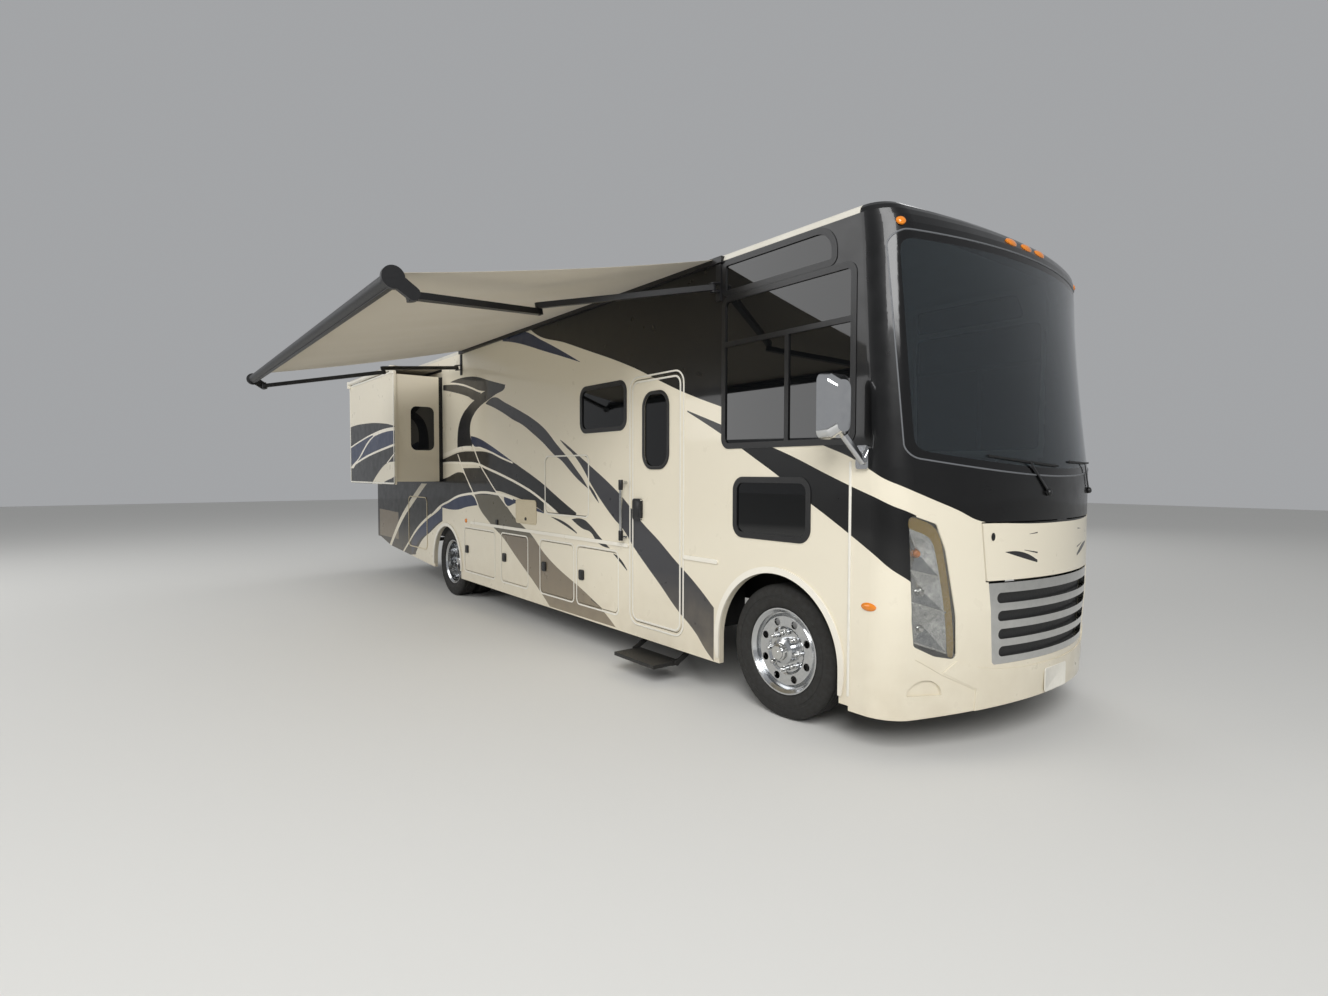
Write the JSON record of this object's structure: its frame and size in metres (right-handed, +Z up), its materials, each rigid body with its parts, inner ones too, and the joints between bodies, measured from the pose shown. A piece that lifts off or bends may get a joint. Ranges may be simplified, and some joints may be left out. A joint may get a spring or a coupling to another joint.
{
  "type": "motorhome",
  "caption": "Class A motorhome with a hollow body, folding-arm awning, slide-out rooms, steered front wheels, twin rear wheels and opening doors.",
  "frame": {"origin": "on the ground, on the centreline, midway between the axles", "axes": "+X forward, +Y to the left (street side), +Z up"},
  "size_m": [11.0039, 5.3476, 3.6723],
  "materials": {
    "gelcoat_nose": "gloss gelcoat",
    "gelcoat_wall": "gloss gelcoat laminate",
    "gelcoat_rear": "gloss gelcoat",
    "gelcoat_door": "gloss gelcoat laminate",
    "gelcoat_slide": "gloss gelcoat laminate",
    "windshield_glass": "tinted laminated glass",
    "tinted_glass": "dark tinted glass",
    "lamp_lens": "clear lens over chrome",
    "chrome_grille": "bright chrome",
    "black_frame": "black anodised",
    "roof_membrane": "matt membrane",
    "floor_laminate": "plywood laminate",
    "bay_liner": "moulded liner",
    "chassis_steel": "black chassis paint",
    "engine_iron": "cast",
    "axle_steel": "black chassis paint",
    "tank_steel": "black paint",
    "awning_cloth": "woven acrylic",
    "black_aluminium": "black powder coat",
    "step_steel": "black paint",
    "dash_plastic": "moulded",
    "seat_leather": "soft",
    "chrome_mirror": "bright chrome",
    "ladder_aluminium": "satin",
    "red_lens": "red lens",
    "unit_plastic": "moulded",
    "polished_rim": "polished",
    "tyre_rubber": "black rubber"
  },
  "bodies": {
    "coach": {"front_cap": "gelcoat_nose", "windshield_glass": "windshield_glass", "headlamps": "lamp_lens", "front_grille": "chrome_grille", "side_wall_curb": "gelcoat_wall", "side_wall_street": "gelcoat_wall", "window_frames": "black_frame", "window_glass": "tinted_glass", "roof_panel": "roof_membrane", "rear_cap": "gelcoat_rear", "floor_deck": "floor_laminate", "baggage_bays": "bay_liner", "chassis_frame": "chassis_steel", "engine_block": "engine_iron", "front_axle": "axle_steel", "rear_axle": "axle_steel", "fuel_tank": "tank_steel", "topper_fabric": "awning_cloth", "awning_rail": "black_aluminium", "awning_fabric": "awning_cloth", "dashboard": "dash_plastic", "cab_seats": "seat_leather", "mirrors": "chrome_mirror", "rear_ladder": "ladder_aluminium", "tail_lamps": "red_lens", "roof_units": "unit_plastic", "grab_handle": "chrome_grille"},
    "steering_wheel": {"steering_wheel": "dash_plastic"},
    "entry_door": {"entry_door": "gelcoat_door", "entry_door_glass": "tinted_glass"},
    "hood_door": {"hood_door": "gelcoat_nose"},
    "tv_door": {"tv_door": "gelcoat_door"},
    "slide_room_curb": {"slide_room_curb": "gelcoat_slide", "slide_room_curb_glass": "tinted_glass"},
    "slide_room_street": {"slide_room_street": "gelcoat_slide", "slide_room_street_glass": "tinted_glass"},
    "awning_arm_front": {"awning_arm_front": "black_aluminium"},
    "awning_forearm_front": {"awning_forearm_front": "black_aluminium"},
    "awning_arm_rear": {"awning_arm_rear": "black_aluminium"},
    "awning_forearm_rear": {"awning_forearm_rear": "black_aluminium"},
    "awning_roller": {"awning_roller": "black_aluminium"},
    "step_arms": {"step_arms": "step_steel"},
    "step_tread": {"step_tread": "step_steel"},
    "baggage_door_rear": {"baggage_door_rear": "gelcoat_door"},
    "baggage_door_1": {"baggage_door_1": "gelcoat_door"},
    "baggage_door_2": {"baggage_door_2": "gelcoat_door"},
    "baggage_door_3": {"baggage_door_3": "gelcoat_door"},
    "baggage_door_street_rear": {"baggage_door_street_rear": "gelcoat_door"},
    "baggage_door_street_front": {"baggage_door_street_front": "gelcoat_door"},
    "knuckle_left": {"knuckle_left": "axle_steel"},
    "front_wheel_left": {"front_rim_left": "polished_rim", "front_tyre_left": "tyre_rubber"},
    "rear_wheels_left": {"rear_rims_left": "polished_rim", "rear_tyres_left": "tyre_rubber"},
    "knuckle_right": {"knuckle_right": "axle_steel"},
    "front_wheel_right": {"front_rim_right": "polished_rim", "front_tyre_right": "tyre_rubber"},
    "rear_wheels_right": {"rear_rims_right": "polished_rim", "rear_tyres_right": "tyre_rubber"}
  },
  "joints": [
    {"name": "steer_left", "type": "hinge", "parent": "coach", "child": "knuckle_left", "pos_m": [3.0735, 0.96, 0.47], "axis": [0, 0, 1], "range_deg": [-40, 40]},
    {"name": "front_wheel_left", "type": "hinge", "parent": "knuckle_left", "child": "front_wheel_left", "pos_m": [3.0735, 1.1, 0.47], "axis": [0, 1, 0], "continuous": true},
    {"name": "rear_wheels_left", "type": "hinge", "parent": "coach", "child": "rear_wheels_left", "pos_m": [-3.0735, 1.1, 0.47], "axis": [0, 1, 0], "continuous": true},
    {"name": "steer_right", "type": "hinge", "parent": "coach", "child": "knuckle_right", "pos_m": [3.0735, -0.96, 0.47], "axis": [0, 0, 1], "range_deg": [-40, 40]},
    {"name": "front_wheel_right", "type": "hinge", "parent": "knuckle_right", "child": "front_wheel_right", "pos_m": [3.0735, -1.1, 0.47], "axis": [0, 1, 0], "continuous": true},
    {"name": "rear_wheels_right", "type": "hinge", "parent": "coach", "child": "rear_wheels_right", "pos_m": [-3.0735, -1.1, 0.47], "axis": [0, 1, 0], "continuous": true},
    {"name": "steering_wheel", "type": "hinge", "parent": "coach", "child": "steering_wheel", "pos_m": [3.42, 0.62, 1.72], "axis": [-0.5, 0, 0.866], "range_deg": [-640, 640]},
    {"name": "entry_door", "type": "hinge", "parent": "coach", "child": "entry_door", "pos_m": [2.06625, -1.2815, 1.465], "axis": [0, 0, 1], "range_deg": [0, 95]},
    {"name": "baggage_door_rear", "type": "hinge", "parent": "coach", "child": "baggage_door_rear", "pos_m": [-1.51375, -1.2815, 0.71], "axis": [0, 0, 1], "range_deg": [0, 95]},
    {"name": "baggage_door_1", "type": "hinge", "parent": "coach", "child": "baggage_door_1", "pos_m": [-0.64375, -1.2815, 0.71], "axis": [0, 0, 1], "range_deg": [0, 95]},
    {"name": "baggage_door_2", "type": "hinge", "parent": "coach", "child": "baggage_door_2", "pos_m": [0.35625, -1.2815, 0.71], "axis": [0, 0, 1], "range_deg": [0, 95]},
    {"name": "baggage_door_3", "type": "hinge", "parent": "coach", "child": "baggage_door_3", "pos_m": [1.14625, -1.2815, 0.71], "axis": [0, 0, 1], "range_deg": [0, 95]},
    {"name": "baggage_door_street_rear", "type": "hinge", "parent": "coach", "child": "baggage_door_street_rear", "pos_m": [-1.51375, 1.2815, 0.71], "axis": [0, 0, -1], "range_deg": [0, 95]},
    {"name": "baggage_door_street_front", "type": "hinge", "parent": "coach", "child": "baggage_door_street_front", "pos_m": [1.14625, 1.2815, 0.71], "axis": [0, 0, -1], "range_deg": [0, 95]},
    {"name": "tv_door", "type": "hinge", "parent": "coach", "child": "tv_door", "pos_m": [0.22, -1.2815, 1.87625], "axis": [-1, 0, 0], "range_deg": [0, 90]},
    {"name": "hood_door", "type": "hinge", "parent": "coach", "child": "hood_door", "pos_m": [4.3975, 0, 1.42025], "axis": [0, -1, 0], "range_deg": [0, 70]},
    {"name": "slide_room_curb", "type": "slide", "parent": "coach", "child": "slide_room_curb", "axis": [0, 1, 0], "range_m": [0, 0.632], "deforming": ["topper_fabric"]},
    {"name": "slide_room_street", "type": "slide", "parent": "coach", "child": "slide_room_street", "axis": [0, 1, 0], "range_m": [0, 0.56]},
    {"name": "awning_shoulder_front", "type": "hinge", "parent": "coach", "child": "awning_arm_front", "pos_m": [2.5, -1.35, 3.085], "axis": [0, 0.1616, -0.9869], "range_deg": [0, 57], "deforming": ["awning_fabric"]},
    {"name": "awning_elbow_front", "type": "hinge", "parent": "awning_arm_front", "child": "awning_forearm_front", "pos_m": [1.88335, -2.45693, 2.90373], "axis": [0, 0.1616, -0.9869], "range_deg": [-114, 0]},
    {"name": "awning_roller_pivot", "type": "hinge", "parent": "awning_forearm_front", "child": "awning_roller", "pos_m": [2.5, -3.56386, 2.72247], "axis": [0, 0.1616, -0.9869], "range_deg": [0, 57]},
    {"name": "awning_shoulder_rear", "type": "hinge", "parent": "coach", "child": "awning_arm_rear", "pos_m": [-2.5, -1.35, 3.085], "axis": [0, 0.1616, -0.9869], "range_deg": [-57, 0]},
    {"name": "awning_elbow_rear", "type": "hinge", "parent": "awning_arm_rear", "child": "awning_forearm_rear", "pos_m": [-1.88335, -2.45693, 2.90373], "axis": [0, 0.1616, -0.9869], "range_deg": [0, 114]},
    {"name": "step_swing", "type": "hinge", "parent": "coach", "child": "step_arms", "pos_m": [1.72, -1.12, 0.265], "axis": [1, 0, 0], "range_deg": [0, 120]},
    {"name": "step_tread_level", "type": "hinge", "parent": "step_arms", "child": "step_tread", "pos_m": [1.72, -1.28455, 0.17], "axis": [1, 0, 0], "range_deg": [-120, 0]}
  ],
  "couplings": [
    {"joint": "steer_right", "follows": "steer_left", "ratio": 1},
    {"joint": "steering_wheel", "follows": "steer_left", "ratio": 16},
    {"joint": "awning_elbow_front", "follows": "awning_shoulder_front", "ratio": -2},
    {"joint": "awning_roller_pivot", "follows": "awning_shoulder_front", "ratio": 1},
    {"joint": "awning_shoulder_rear", "follows": "awning_shoulder_front", "ratio": -1},
    {"joint": "awning_elbow_rear", "follows": "awning_shoulder_front", "ratio": 2},
    {"joint": "step_tread_level", "follows": "step_swing", "ratio": -1}
  ]
}
